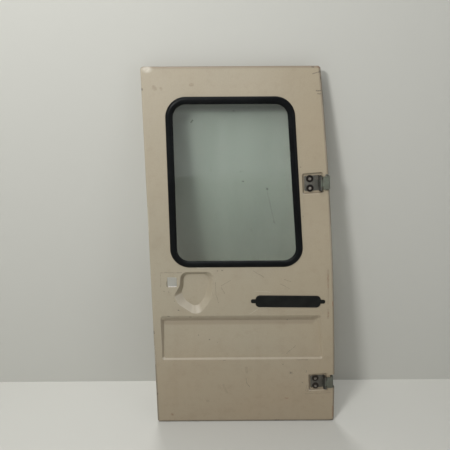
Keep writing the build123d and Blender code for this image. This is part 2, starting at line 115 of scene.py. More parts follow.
def ramp(tree, value, start, end, low=0.0, high=1.0):
    """Value eased smoothly from low at start to high at end, and held outside."""
    inputs = {"Value": value, "From Min": start, "From Max": end, "To Min": low, "To Max": high}
    return add(tree, "MapRange", inputs, interpolation_type="SMOOTHSTEP").outputs[0]


# A scratch is the closeness to the straight line between two places on the face, or an earlier mask where
# that is greater. It hands the place on, all but unmoved, so that scratches are worked out one by one.
flatten = (1, 0, 1)
scratch_edge, scratch_core = 0.5, 0.25
all_but_nothing = 1e-9
scratch, entry, leave = new_group(
    "scratch",
    {"Place": "Vector", "Start": "Vector", "End": "Vector", "Width": "Float", "Earlier": "Float"},
    {"Mask": "Float", "Place": "Vector"},
)
flat = vector(scratch, "MULTIPLY", entry["Place"], flatten)
from_start = vector(scratch, "SUBTRACT", flat, entry["Start"])
run = vector(scratch, "SUBTRACT", entry["End"], entry["Start"])
along_run = measure(scratch, "DOT_PRODUCT", from_start, run)
run_square = measure(scratch, "DOT_PRODUCT", run, run)
share = calc(scratch, "DIVIDE", along_run, run_square, clamp=True)
nearest = add(scratch, "VectorMath", {0: run, "Scale": share}, operation="SCALE").outputs[0]
apart = measure(scratch, "DISTANCE", from_start, nearest)
relative = calc(scratch, "DIVIDE", apart, entry["Width"])
closeness = ramp(scratch, relative, scratch_edge, scratch_core)
greater = calc(scratch, "MAXIMUM", closeness, entry["Earlier"])
scratch.links.new(greater, leave["Mask"])
hardly = calc(scratch, "MULTIPLY", greater, all_but_nothing)
scratch.links.new(vector(scratch, "ADD", entry["Place"], hardly), leave["Place"])


def noise(tree, where, scale, detail=4.0, roughness=0.55):
    """Soft random value between 0 and 1 at a place."""
    inputs = {"Vector": where, "Scale": scale, "Detail": detail, "Roughness": roughness}
    return add(tree, "TexNoise", inputs).outputs[0]


def patches(tree, where, scale, start, end, low=0.0, high=1.0, detail=4.0, roughness=0.55):
    """Soft random value at a place, eased from low to high where it passes from start to end."""
    return ramp(tree, noise(tree, where, scale, detail, roughness), start, end, low, high)


def blend(tree, share, first, second):
    """Colour between two others, by a share from 0 to 1."""
    inputs = {0: share, 6: first, 7: second}
    return add(tree, "Mix", inputs, data_type="RGBA", clamp_factor=True).outputs[2]


def axes(tree, value):
    """The numbers X, Y and Z of a vector: along the door, into the vehicle and up."""
    return add(tree, "SeparateXYZ", {0: value}).outputs


# Aged paint: clouded bleaching, grime that thickens low down and runs in streaks, and a fine sprayed skin.
# A stretch is in metres along or up the door, from where an effect starts to where it is full.
sunny_stretch, shaded_stretch = (0.25, 0.58), (0.30, 0.52)
bleached_stretch, soiled_stretch, splashed_stretch = (0.55, 1.2), (0.55, 0.0), (0.40, 0.10)
streak_scale = (24, 24, 1.8)
soil_roughness = 0.25
spray_height, ripple_height = 6e-6, 9e-4
aged_paint, entry, leave = new_group(
    "aged_paint",
    {
        "Place": "Vector", "Paint": "Color", "Bleached": "Color", "Grime": "Color",
        "Bleach": "Float", "Dirt": "Float",
    },
    {"Colour": "Color", "Roughness": "Float", "Height": "Float"},
)
tree = aged_paint
where = entry["Place"]
along, _, up = axes(tree, where)
cloud = noise(tree, where, 4.0, detail=5.0)
mottle = noise(tree, where, 38.0, detail=6.0, roughness=0.65)
streak = noise(tree, vector(tree, "MULTIPLY", where, streak_scale), 1.0, detail=3.0, roughness=0.5)
speck = noise(tree, where, 260.0, detail=3.0, roughness=0.7)
sunny_side = ramp(tree, along, *sunny_stretch, high=0.75)
patchy = patches(tree, where, 2.6, 0.40, 0.64, high=0.30)
splashed = ramp(tree, up, *splashed_stretch, high=0.70)
yellowing = calc(tree, "MAXIMUM", sunny_side, splashed)
yellowing = calc(tree, "ADD", yellowing, patchy, clamp=True)
high_up = ramp(tree, up, *bleached_stretch)
high_up = calc(tree, "MULTIPLY", high_up, ramp(tree, along, *shaded_stretch, low=1.0, high=0.35))
bleaching = calc(tree, "ADD", high_up, ramp(tree, cloud, 0.4, 0.7, high=0.4))
bleaching = calc(tree, "MULTIPLY", bleaching, entry["Bleach"], clamp=True)
low_down = ramp(tree, up, *soiled_stretch, low=0.04, high=0.52)
soil = calc(tree, "MULTIPLY", low_down, ramp(tree, cloud, 0.25, 0.7, low=0.6))
run_off = ramp(tree, streak, 0.5, 0.8, high=0.10)
settled = ramp(tree, mottle, 0.48, 0.76, high=0.20)
smear = patches(tree, where, 13.0, 0.50, 0.72, high=0.16, detail=6.0, roughness=0.6)
for layer in (smear, run_off, settled):
    soil = calc(tree, "ADD", soil, layer)
soil = calc(tree, "MULTIPLY", soil, entry["Dirt"], clamp=True)
bleached = blend(tree, bleaching, entry["Paint"], entry["Bleached"])
soiled = blend(tree, soil, bleached, entry["Grime"])
soiled = blend(tree, yellowing, soiled, vector(tree, "MULTIPLY", soiled, yellowed_tint))
tone = ramp(tree, speck, 0.3, 0.7, low=0.965, high=1.03)
grey_tone = add(tree, "CombineXYZ", {0: tone, 1: tone, 2: tone}).outputs[0]
tree.links.new(vector(tree, "MULTIPLY", soiled, grey_tone), leave["Colour"])
polish = ramp(tree, mottle, 0.3, 0.7, low=0.38, high=0.50)
dull = calc(tree, "ADD", calc(tree, "MULTIPLY", soil, soil_roughness), polish)
tree.links.new(dull, leave["Roughness"])
spray = calc(tree, "MULTIPLY", noise(tree, where, 420.0, detail=2.0), spray_height)
ripple = calc(tree, "MULTIPLY", noise(tree, where, 5.0, detail=2.0, roughness=0.4), ripple_height)
tree.links.new(calc(tree, "ADD", spray, ripple), leave["Height"])

# Marks on this door: start and end of each along and up the face, and its width, in millimetres. The plate
# recess shade is one wide mark of painted shade, darkening the paint under the top of the plate recess.
dark_marks = [
    (494, 1172, 515, 1178, 3.0), (514, 1179, 516, 1178, 6.0), (517, 1162, 518, 1158, 5.0),
    (507, 1125, 520, 1125, 4.5), (510, 1117, 520, 1117, 3.5), (492, 1190, 496, 1190, 5.0),
    (330, 568, 365, 545, 1.5), (430, 538, 452, 529, 1.5),
    (418, 522, 448, 506, 1.2), (208, 529, 210, 487, 1.3), (210, 487, 218, 455, 1.3),
    (257, 535, 227, 517, 1.2), (310, 172, 312, 154, 2.2), (312, 154, 322, 141, 2.2),
    (462, 194, 462, 194, 8.0), (434, 227, 434, 227, 5.0), (482, 244, 518, 245, 2.0),
    (446, 265, 476, 294, 1.5), (2, 347, 2, 353, 7.0), (4, 112, 4, 118, 5.0), (2, 1131, 2, 1133, 7.0),
    (120, 3, 180, 3, 4.0), (412, 4, 424, 4, 7.0), (607, 4, 613, 6, 8.0), (469, 902, 470, 902, 4.5),
    (483, 748, 483, 748, 4.0), (52, 409, 54, 409, 4.0), (41, 498, 41, 498, 4.0),
    (514, 111, 604, 115, 1.2), (33, 563, 100, 563, 1.8), (33, 563, 31, 514, 1.2),
    (52, 533, 52, 516, 4.0), (214, 569, 217, 569, 3.5), (229, 569, 232, 569, 3.5),
    (226, 512, 238, 490, 1.5), (49, 410, 54, 408, 4.0), (80, 402, 84, 401, 3.0), (120, 405, 127, 405, 3.0),
    (185, 318, 186, 317, 5.0), (149, 335, 150, 335, 4.0), (212, 309, 213, 308, 3.0),
    (445, 389, 446, 388, 4.0), (233, 244, 238, 244, 3.0), (519, 146, 515, 124, 1.4),
    (524, 146, 522, 119, 1.4), (537, 130, 530, 118, 1.4), (502, 156, 505, 154, 3.5),
    (515, 202, 514, 194, 2.5), (55, 497, 57, 496, 4.0), (85, 432, 88, 430, 5.0), (74, 464, 75, 464, 3.0),
]
rust_marks = [
    (571, 552, 572, 528, 4.0), (572, 519, 573, 508, 4.0), (578, 422, 579, 404, 4.0),
    (590, 459, 591, 443, 4.0), (612, 60, 614, 20, 5.0), (515, 1188, 505, 1192, 4.0),
    (446, 95, 456, 94, 6.0), (50, 32, 54, 30, 7.0),
]
# The last pale mark, just below the seal's bottom run, is a painted highlight on the skin there.
pale_marks_and_highlight = [
    (321, 416, 347, 435, 1.6), (333, 498, 393, 493, 1.6), (347, 438, 420, 441, 1.4),
    (2, 700, 2, 780, 2.5), (2, 230, 2, 300, 2.5), (150, 579, 190, 579, 2.5),
]
# The last smudge, in the upper corner of the plate recess on the hinge side, is painted shade.
smudges_and_shade = [
    (37, 1137, 41, 1133, 15.0), (57, 1134, 58, 1132, 11.0), (143, 1143, 147, 1143, 13.0),
    (570, 568, 572, 522, 9.0), (573, 518, 576, 450, 6.0), (577, 430, 579, 400, 9.0),
    (461, 194, 464, 193, 17.0), (51, 32, 54, 30, 15.0), (176, 85, 180, 84, 13.0), (108, 3, 113, 3, 14.0),
    (418, 3, 424, 3, 15.0), (310, 214, 312, 198, 14.0), (232, 148, 244, 118, 10.0),
    (530, 399, 548, 405, 17.0),
]
plate_recess_shade = [(44, 387, 524, 387, 36)]
wander_reach = 0.005
dark_strength, rust_strength, pale_and_highlight_strength, smudge_and_shade_strength, recess_shade_strength = 0.70, 0.62, 0.40, 0.50, 0.5

# Edges of this door: stretches in metres from the edge, up the door, or from the pale corner. Along the hinge
# edge the rolled rim is darkened as painted shade, for it turns away from the light; the foot and the closing
# edge low down are darker towards their edge.
hinge_rim_shade_stretch, foot_rim_stretch, closing_rim_stretch = (0.009, 0.004), (0.010, 0.004), (0.008, 0.003)
closing_rim_up, top_edge_up, rotten_up = (0.42, 0.12), (1.1845, 1.1925), (0.22, 0.06)
pale_corner_place, pale_corner_shape, pale_corner_stretch = (19 * MM, 0, 1186 * MM), (1, 0, 1.6), (0.020, 0.003)
inner_soil = 0.45


def use_group(tree, group, inputs=None):
    """Outputs of a node group that is placed in a material."""
    return add(tree, "Group", inputs, node_tree=group).outputs


def new_material(name):
    """Empty material with its Principled shader; returns the material, its tree and that shader."""
    made = bpy.data.materials.new(name)
    made.use_nodes = True
    return made, made.node_tree, made.node_tree.nodes["Principled BSDF"]


def new_finish(name):
    """Material of a piece of the door; returns it, its tree, its shader and the place on the door."""
    made, tree, shader = new_material(name)
    return made, tree, shader, use_group(tree, door_place)["Place"]


def facing_way(tree):
    """Way that the surface faces, as the numbers X, Y and Z."""
    return axes(tree, add(tree, "TexCoord").outputs["Normal"])


def marks_mask(tree, rows, start):
    """Greatest closeness to any of the marks, from 0 to 1, and the place handed on."""
    made = {"Place": start, "Mask": 0.0}
    for along_1, up_1, along_2, up_2, width in rows:
        ends = {"Start": (along_1 * MM, 0, up_1 * MM), "End": (along_2 * MM, 0, up_2 * MM)}
        inputs = {"Place": made["Place"], "Earlier": made["Mask"], "Width": width * MM, **ends}
        made = use_group(tree, scratch, inputs)
    return made["Mask"], made["Place"]


def wear(tree, shader, colour, roughness, height=None):
    """Links a colour, a roughness and, where there is one, a bump height in metres to a shader."""
    tree.links.new(colour, shader.inputs["Base Color"])
    tree.links.new(roughness, shader.inputs["Roughness"])
    if height is not None:
        bump = add(tree, "Bump", {"Strength": 1.0, "Distance": 1.0, "Height": height})
        tree.links.new(bump.outputs[0], shader.inputs["Normal"])


def dress(material, *names):
    """Gives CAD nodes their material."""
    for name in names:
        slots = frame["nodes"][name].data.materials
        slots.clear()
        slots.append(material)


skin_paint, tree, shader, where = new_finish("skin_paint")
aged = use_group(tree, aged_paint, {
    "Place": where, "Paint": paint_beige, "Bleached": paint_bleached, "Grime": grime_and_shade,
    "Bleach": 0.8, "Dirt": 0.85,
})
wander = add(tree, "TexNoise", {"Vector": where, "Scale": 60.0, "Detail": 3.0}).outputs["Color"]
wander = vector(tree, "MULTIPLY_ADD", wander, (wander_reach,) * 3, (-wander_reach / 2,) * 3)
unsteady = vector(tree, "ADD", where, wander)
broken = patches(tree, where, 210.0, 0.30, 0.52, detail=3.0, roughness=0.6)
marks = []
for rows, strength in (
    (dark_marks, dark_strength), (rust_marks, rust_strength),
    (pale_marks_and_highlight, pale_and_highlight_strength), (smudges_and_shade, smudge_and_shade_strength),
):
    near, unsteady = marks_mask(tree, rows, unsteady)
    marks.append(calc(tree, "MULTIPLY", near, calc(tree, "MULTIPLY", broken, strength)))
dark, rust, pale_and_highlight, smudged_and_shaded = marks
along, _, up = axes(tree, where)
facing = facing_way(tree)
inside = ramp(tree, facing["Y"], 0.05, 0.40)
outside = calc(tree, "SUBTRACT", 1.0, inside)
# Painted highlight: faces that turn upwards are paled, as if lit from above.
highlight_and_rubbed = ramp(tree, facing["Z"], 0.10, 0.55, high=0.10)
lying = ramp(tree, facing["Z"], 0.80, 0.97, high=0.75)
# Painted shade: faces that turn towards the hinge edge, away from the light, are darkened.
painted_shade_right_facing = ramp(tree, facing["X"], 0.30, 0.80, high=0.45)
top_edge = ramp(tree, up, *top_edge_up, high=0.85)
edge_centre = (edge_centre_along * MM, 0, edge_centre_up * MM)
from_centre = measure(tree, "DISTANCE", vector(tree, "MULTIPLY", where, flatten), edge_centre)
# Painted shade along the hinge edge's rolled rim, which turns away from the light.
rim_start, rim_end = (edge_radius * MM - inset for inset in hinge_rim_shade_stretch)
hinge_rim_shade = ramp(tree, from_centre, rim_start, rim_end, high=0.55)
foot_rim = ramp(tree, up, *foot_rim_stretch, high=0.85)
closing_rim = ramp(tree, along, *closing_rim_stretch, high=0.70)
closing_rim = calc(tree, "MULTIPLY", closing_rim, ramp(tree, up, *closing_rim_up))
rim = calc(tree, "MAXIMUM", calc(tree, "MAXIMUM", hinge_rim_shade, foot_rim), closing_rim)
# Paler towards the top closing corner, in a mottled patch.
from_corner = vector(tree, "SUBTRACT", where, pale_corner_place)
to_corner = measure(tree, "LENGTH", vector(tree, "MULTIPLY", from_corner, pale_corner_shape))
corner_mottle = patches(tree, where, 85.0, 0.30, 0.55, low=0.55, high=0.95, roughness=0.6)
pale_corner = calc(tree, "MULTIPLY", ramp(tree, to_corner, *pale_corner_stretch), corner_mottle)
# Painted highlight: faces that turn upwards and towards the hinge edge are paled.
painted_light_up_right = ramp(tree, facing["Z"], 0.02, 0.22, high=0.35)
painted_light_up_right = calc(tree, "MULTIPLY", ramp(tree, facing["X"], 0.02, 0.25), painted_light_up_right)
# Painted shade under the top of the plate recess, in the grime colour.
recess_painted_shade = calc(tree, "MULTIPLY", marks_mask(tree, plate_recess_shade, where)[0], recess_shade_strength)
rotten = patches(tree, where, 22.0, 0.50, 0.62, detail=6.0, roughness=0.7)
rotten = calc(tree, "MULTIPLY", rotten, ramp(tree, up, *rotten_up, high=0.7))
colour = blend(tree, recess_painted_shade, aged["Colour"], grime_and_shade)
for painted_light in (highlight_and_rubbed, painted_light_up_right):
    colour = blend(tree, painted_light, colour, pale_mark_and_highlight)
# Dust on upward faces and dirt at the top edge, with the painted shade on faces turned to the hinge edge.
for dirt_and_shade in (lying, painted_shade_right_facing, top_edge):
    colour = blend(tree, dirt_and_shade, colour, grime_and_shade)
for mask, tint in (
    (smudged_and_shaded, grime_and_shade), (rim, rim_darkening), (pale_corner, pale_mark_and_highlight),
    (pale_and_highlight, pale_mark_and_highlight), (rust, mark_rust), (dark, mark_dark),
):
    colour = blend(tree, calc(tree, "MULTIPLY", mask, outside), colour, tint)
colour = blend(tree, calc(tree, "MULTIPLY", inside, inner_soil), colour, grime_and_shade)
colour = blend(tree, calc(tree, "MULTIPLY", inside, rotten), colour, mark_rust)
wear(tree, shader, colour, aged["Roughness"], aged["Height"])
dress(skin_paint, "outer_skin")

# Inner frame: seven pressed members welded into one tray behind the skin, and the plates that the hinge
# bolts screw into. They got the same beige inside, thinner, with dust on the ledges and rust at the welds.
inner_names = [
    "inner_header", "inner_closing_window_post", "inner_hinge_window_post", "inner_waist_rail",
    "inner_closing_lower_post", "inner_hinge_lower_post", "inner_bottom_rail",
    "upper_hinge_tapping_plate", "lower_hinge_tapping_plate",
]
inner_beige = (0.305, 0.270, 0.200, 1)
inner_dust = (0.262, 0.230, 0.176, 1)
dust_strength, inner_rust_strength = 0.7, 0.7
inner_paint, tree, shader, where = new_finish("inner_paint")
aged = use_group(tree, aged_paint, {
    "Place": where, "Paint": inner_beige, "Bleached": paint_bleached, "Grime": grime_and_shade,
    "Bleach": 0.15, "Dirt": 1.1,
})
ledge = ramp(tree, facing_way(tree)["Z"], 0.2, 0.9)
dusty = calc(tree, "MULTIPLY", ledge, patches(tree, where, 25.0, 0.25, 0.6))
rusty = patches(tree, where, 17.0, 0.66, 0.72, detail=7.0, roughness=0.72)
colour = blend(tree, calc(tree, "MULTIPLY", dusty, dust_strength), aged["Colour"], inner_dust)
colour = blend(tree, calc(tree, "MULTIPLY", rusty, inner_rust_strength), colour, mark_rust)
wear(tree, shader, colour, aged["Roughness"], aged["Height"])
dress(inner_paint, *inner_names)

# Hem sealer: a bead laid by hand along the folded edge of the skin, over its joint with the inner frame's
# flange, and sprayed over with both. It stops at the notches that the hinge legs pass through.
bead_inset, bead_depth, bead_half_width, bead_height = 9.4, 10.9, 3.0, 2.2
bead_corner_radius, bead_taper, notch_half_height = 9.0, 7.0, 27.0
bead_step, bead_points, edge_points = 2.0, 9, 25
bead_waver = [(0.10, 0.12, 0.0), (0.07, 0.41, 1.0)]
pillar_faces = [Vector(mount["pos_m"]) for mount in frame["record"]["mounts"][:2]]
notch_heights = [(face - skin_low).z / MM for face in pillar_faces]


def hinge_edge(up, inset):
    """Distance along to the bowed hinge edge at a height, moved inwards by an inset: a circle through both
    corners of the edge."""
    return edge_centre_along + np.sqrt((edge_radius - inset) ** 2 - (up - edge_centre_up) ** 2)


def rounded_path(corners, radius, step):
    """Closed path of rounded corners. Each corner is an arc about the point where the sides, moved inwards by
    the radius, meet. The arcs are divided into steps of about one length, and the straight sides between
    their ends into steps four times as long. Returns places and outward directions."""
    corners = np.asarray(corners, float)
    to_next = np.roll(corners, -1, axis=0) - corners
    heading = to_next / np.linalg.norm(to_next, axis=1, keepdims=True)
    before = np.roll(heading, 1, axis=0)
    out_before = np.stack([before[:, 1], -before[:, 0]], axis=1)
    out_after = np.stack([heading[:, 1], -heading[:, 0]], axis=1)
    toward = out_before + out_after
    share = radius / (1 + (out_before * out_after).sum(axis=1, keepdims=True))
    centres = corners - toward * share
    places, outward = [], []
    for number, centre in enumerate(centres):
        first = math.atan2(*out_before[number][::-1])
        turn = (math.atan2(*out_after[number][::-1]) - first) % (2 * math.pi)
        angles = first + turn * np.linspace(0, 1, max(2, round(turn * radius / step) + 1))
        rays = np.stack([np.cos(angles), np.sin(angles)], axis=1)
        end = centres[(number + 1) % len(centres)] + radius * out_after[number]
        start = centre + radius * rays[-1]
        count = max(1, round(np.linalg.norm(end - start) / (4 * step)))
        line = start + (end - start) * np.linspace(0, 1, count + 1)[1:-1, None]
        places += [centre + radius * rays, line]
        outward += [rays, np.repeat(out_after[number][None], len(line), axis=0)]
    return np.concatenate(places), np.concatenate(outward)


def door_points(along, up, depth):
    """Row-frame points for arrays of places on the door in millimetres."""
    return np.stack([along, depth, up], axis=-1) * MM + np.array(skin_low)


def surface(name, points, closed_rows=False, closed_columns=False):
    """Mesh over a grid of points: each cell of the array becomes a four-sided face, the last row or column is
    joined to the first where the piece closes, points that meet are merged, faces point outwards, and edges
    that turn by more than the crease angle stay sharp."""
    crease_angle, merge_distance = 35.0, 1e-7
    rows, columns = points.shape[:2]
    number = np.arange(rows * columns).reshape(rows, columns)
    if closed_rows:
        number = np.concatenate([number, number[:1]])
    if closed_columns:
        number = np.concatenate([number, number[:, :1]], axis=1)
    cells = [number[:-1, :-1], number[:-1, 1:], number[1:, 1:], number[1:, :-1]]
    faces = np.stack(cells, axis=-1).reshape(-1, 4)
    mesh = bpy.data.meshes.new(name)
    mesh.from_pydata(points.reshape(-1, 3).tolist(), [], faces.tolist())
    shape = bmesh.new()
    shape.from_mesh(mesh)
    bmesh.ops.remove_doubles(shape, verts=shape.verts, dist=merge_distance)
    bmesh.ops.dissolve_degenerate(shape, edges=shape.edges, dist=merge_distance)
    bmesh.ops.recalc_face_normals(shape, faces=shape.faces)
    shape.to_mesh(mesh)
    shape.free()
    mesh.shade_smooth()
    mesh.set_sharp_from_angle(angle=math.radians(crease_angle))
    made = bpy.data.objects.new(name, mesh)
    bpy.context.scene.collection.objects.link(made)
    return made


def join_to(made, body, slot, material, *hidden):
    """Gives a new piece its finish and the body that it moves with, and hides the CAD nodes that it stands
    for.
    """
    made.data.materials.append(material)
    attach(made, body)
    if hidden:
        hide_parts(*hidden)


def sealer_bead(path, outward):
    """Half-round bead along an open path: a half ellipse across it, closed by its flat foot. Its size shrinks
    to nothing at both ends and wavers with the length run, by the sum of two sines, each given as its share
    of the size, its angle for each millimetre and its starting angle."""
    steps = np.linalg.norm(np.diff(path, axis=0), axis=1)
    run = np.concatenate([[0.0], np.cumsum(steps)])
    from_end = np.minimum(run, run[-1] - run)
    size = np.sqrt(np.minimum(from_end / bead_taper, 1.0))
    size = size * (1 + sum(share * np.sin(rate * run + start) for share, rate, start in bead_waver))
    half_turn = np.linspace(0, np.pi, bead_points)
    across = size[:, None] * bead_half_width * np.cos(half_turn)
    rise = size[:, None] * bead_height * np.sin(half_turn)
    along = path[:, :1] + outward[:, :1] * across
    up = path[:, 1:] + outward[:, 1:] * across
    return door_points(along, up, bead_depth + rise)


bead_low, bead_high = bead_inset, door_height - bead_inset
edge_heights = np.linspace(bead_low, bead_high, edge_points)
edge_corners = np.stack([hinge_edge(edge_heights, bead_inset), edge_heights], axis=1)
bead_corners = [(bead_inset, bead_high), (bead_inset, bead_low), *edge_corners]
path, outward = rounded_path(bead_corners, bead_corner_radius, bead_step)
from_notch = np.abs(path[:, 1:] - np.array(notch_heights)).min(axis=1)
in_notch = (path[:, 0] > width_at_head / 2) & (from_notch < notch_half_height)
order = np.roll(np.arange(len(path)), -np.flatnonzero(in_notch)[0])
changes = np.flatnonzero(np.diff(in_notch[order].astype(int))) + 1
stretches = [stretch for stretch in np.split(order, changes) if not in_notch[stretch[0]]]
for name, stretch in zip(("hinge_side", "round_the_door"), stretches):
    bead = surface(f"sealer_bead_{name}", sealer_bead(path[stretch], outward[stretch]), closed_columns=True)
    join_to(bead, "door", "inner_paint", inner_paint)

# Window seal: an extruded rubber profile pushed round the opening, one groove over the sheets and one over
# the glass, rounded outside, and pulled a little tighter round the corners than the opening itself. Black,
# dull with age; where it faces upwards it is lighter and bluish, partly dust and partly a painted sheen.
window_left, window_sill, window_top = 77.5, 591.5, 1099.0
window_right_at_sill, window_right_at_top = 479.55, 432.53
window_radius, seal_step, profile_points = 50.0, 3.0, 25
seal_over_skin, seal_over_glass, seal_crest = 11.0, 10.5, 6.2
front_flatness, front_fullness = 2.3, 0.66
seal_back_inner, seal_back_width, seal_back_crest = -11.0, 20.0, 4.7
back_flatness, back_fullness = 2.6, 0.7
glass_front, glass_back, glass_groove = -1.0, 3.0, -2.3
sheets_front, sheets_back, sheets_groove = 0.0, 2.0, -0.3
rubber_black = (0.0024, 0.0027, 0.0031, 1)
rubber_bloom = (0.0046, 0.0053, 0.0058, 1)
rubber_dust = (0.20, 0.18, 0.15, 1)
rubber_dust_and_sheen = (0.160, 0.185, 0.190, 1)
rubber_dust_strength, pore_height, rubber_gloss = 0.025, 2.0e-5, 0.08


def seal_profile():
    """Closed section of the seal as distances out from the opening's edge and depths behind the face. Front
    and back are flattened humps, one minus a power of the distance from their middle, raised to another
    power; between them lie the groove of the glass and the groove of the sheets."""
    t = np.linspace(0, 1, profile_points)
    from_middle = np.abs(2 * t - 1)
    front_out = seal_over_skin - (seal_over_skin + seal_over_glass) * t
    front_depth = -seal_crest * (1 - from_middle**front_flatness) ** front_fullness + glass_front * t
    back_out = seal_back_inner + seal_back_width * t
    back_hump = seal_back_crest * (1 - from_middle**back_flatness) ** back_fullness
    back_depth = glass_back + (sheets_back - glass_back) * t + back_hump
    out = np.concatenate([front_out, [glass_groove] * 2, back_out, [sheets_groove] * 2])
    depth = np.concatenate([front_depth, [glass_front, glass_back], back_depth, [sheets_back, sheets_front]])
    return out, depth


window_corners = [
    (window_left, window_top), (window_left, window_sill),
    (window_right_at_sill, window_sill), (window_right_at_top, window_top),
]
path, outward = rounded_path(window_corners, window_radius, seal_step)
out, depth = seal_profile()
along = path[:, :1] + outward[:, :1] * out
up = path[:, 1:] + outward[:, 1:] * out
points = door_points(along, up, np.broadcast_to(depth, along.shape))
seal = surface("window_seal_rubber", points, closed_rows=True, closed_columns=True)

rubber, tree, shader, where = new_finish("aged_rubber")
bloom = patches(tree, where, 9.0, 0.35, 0.75, detail=5.0)
dust = patches(tree, where, 140.0, 0.52, 0.72, roughness=0.7)
colour = blend(tree, bloom, rubber_black, rubber_bloom)
colour = blend(tree, calc(tree, "MULTIPLY", dust, rubber_dust_strength), colour, rubber_dust)
# Partly dust, partly painted sheen: faces that turn upwards are lighter and bluish.
colour = blend(tree, ramp(tree, facing_way(tree)["Z"], 0.45, 0.85, high=0.09), colour, rubber_dust_and_sheen)
pores = calc(tree, "MULTIPLY", noise(tree, where, 900.0, detail=2.0), pore_height)
wear(tree, shader, colour, ramp(tree, bloom, 0.0, 1.0, low=0.32, high=0.46), pores)
shader.inputs["Specular IOR Level"].default_value = rubber_gloss
join_to(seal, "door", "seal_rubber", rubber, "window_seal")

# Window glass: a flat toughened pane, tinted green in the melt, its edge held in the seal's inner groove.
# Old wiping has left it lightly hazed, with specks of paint on the outside. Under the seal's top the pane is
# darkened as painted shadow, and its tint is lighter towards the top.
glass_marks = [
    (147, 1043, 142, 1037, 6.0), (266, 1069, 268, 1069, 5.0), (369, 836, 370, 835, 7.0),
    (294, 860, 297, 859, 5.0), (392, 732, 394, 728, 4.0), (323, 704, 324, 703, 5.0),
    (198, 895, 199, 894, 4.0), (370, 826, 392, 735, 0.9),
]
lighter_up, top_shadow_up = (0.60, 0.92), (1.060, 1.082)
wiping_scale = (9, 9, 3)
glass_clean = (0.440, 0.478, 0.450, 1)
glass_lighter = (0.590, 0.632, 0.610, 1)
glass_speck = (0.12, 0.13, 0.11, 1)
glass_top_shadow = (0.300, 0.325, 0.290, 1)
glass_mark = (0.32, 0.34, 0.31, 1)
glass_shadow = (0.690, 0.722, 0.695, 1)


def let_through(tree, shader, share, tint):
    """Lets light go straight through a surface by a share from 0 to 1, tinted by a colour."""
    clear = add(tree, "BsdfTransparent", {"Color": tint})
    mixed = add(tree, "MixShader", {0: share, 1: shader.outputs[0], 2: clear.outputs[0]})
    tree.links.new(mixed.outputs[0], tree.nodes["Material Output"].inputs["Surface"])


glass, tree, shader, where = new_finish("tinted_glass")
haze = patches(tree, where, 6.0, 0.3, 0.75, low=0.02, high=0.10, detail=5.0)
wiped = vector(tree, "MULTIPLY", where, wiping_scale)
film_and_lightening = patches(tree, wiped, 1.0, 0.35, 0.7, high=0.25, detail=5.0, roughness=0.6)
up = axes(tree, where)["Z"]
# The tint is also made lighter towards the top.
film_and_lightening = calc(tree, "ADD", film_and_lightening, ramp(tree, up, *lighter_up, high=0.75))
specks = patches(tree, where, 160.0, 0.750, 0.790, detail=2.0, roughness=0.5)
colour = blend(tree, film_and_lightening, glass_clean, glass_lighter)
colour = blend(tree, specks, colour, glass_speck)
# Painted shadow along the top of the pane, under the seal.
colour = blend(tree, ramp(tree, up, *top_shadow_up, high=0.75), colour, glass_top_shadow)
colour = blend(tree, marks_mask(tree, glass_marks, where)[0], colour, glass_mark)
wear(tree, shader, colour, haze)
shader.inputs["Transmission Weight"].default_value = 1.0
shader.inputs["IOR"].default_value = 1.50
let_through(tree, shader, add(tree, "LightPath").outputs["Is Shadow Ray"], glass_shadow)
dress(glass, "window_glass")

# Name bar: a plain moulded bar of black plastic with a lug at each end, pinned to the skin at the right.
# It has faded unevenly and holds dust in its grain.
bar_black = (0.0040, 0.0045, 0.0040, 1)
bar_faded = (0.0085, 0.0092, 0.0080, 1)
bar_dust = (0.13, 0.12, 0.10, 1)
grain_height, bar_gloss = 1.2e-4, 0.15
bar_plastic, tree, shader, where = new_finish("bar_plastic")
faded = patches(tree, where, 30.0, 0.35, 0.7, detail=5.0)
grain = noise(tree, where, 420.0, detail=3.0, roughness=0.6)
colour = blend(tree, faded, bar_black, bar_faded)
colour = blend(tree, ramp(tree, grain, 0.58, 0.75, high=0.04), colour, bar_dust)
roughness = ramp(tree, faded, 0.0, 1.0, low=0.40, high=0.56)
wear(tree, shader, colour, roughness, calc(tree, "MULTIPLY", grain, grain_height))
shader.inputs["Specular IOR Level"].default_value = bar_gloss
dress(bar_plastic, "name_bar")

# Hinges: on the door a dull steel leaf sunk in its pocket and held by two bolts; on the vehicle's side a
# grey-green strap that turns back along the pillar; a plain steel pin joins their knuckles. A black stripe
# along the pin is painted shade in the gap beside the knuckles, and the lower hinge is caked with road dirt.
swing = frame["record"]["behaviour"]["joints"][0]
axis_up = Vector(swing["axis"])
axis_out = Vector((axis_up.z, 0, -axis_up.x))
lower_hinge = Vector(swing["pos_m"])
upper_hinge = lower_hinge + Vector(frame["record"]["mounts"][1]["pos_m"])
pin_gap_shade_width, pin_gap_shade_from_axis = 7.5, -3.0
road_dirt_up = (0.70, 0.25)
pin_gap_shade_black = (0.010, 0.009, 0.006, 1)
road_dirt = (0.034, 0.027, 0.020, 1)
steel_dark, steel_worn = (0.062, 0.061, 0.050, 1), (0.096, 0.090, 0.074, 1)
strap_dark, strap_pale = (0.086, 0.093, 0.069, 1), (0.112, 0.126, 0.098, 1)
steel_rust, strap_rust = (0.052, 0.026, 0.014, 1), (0.070, 0.044, 0.026, 1)
pin_bright, pin_stained = (0.160, 0.150, 0.130, 1), (0.030, 0.022, 0.014, 1)
leaf_dirt, strap_dirt, strap_chips, pin_metal = 0.45, 0.35, 0.7, 0.6
pit_height, chip_depth = 1.5e-4, 8.0e-5


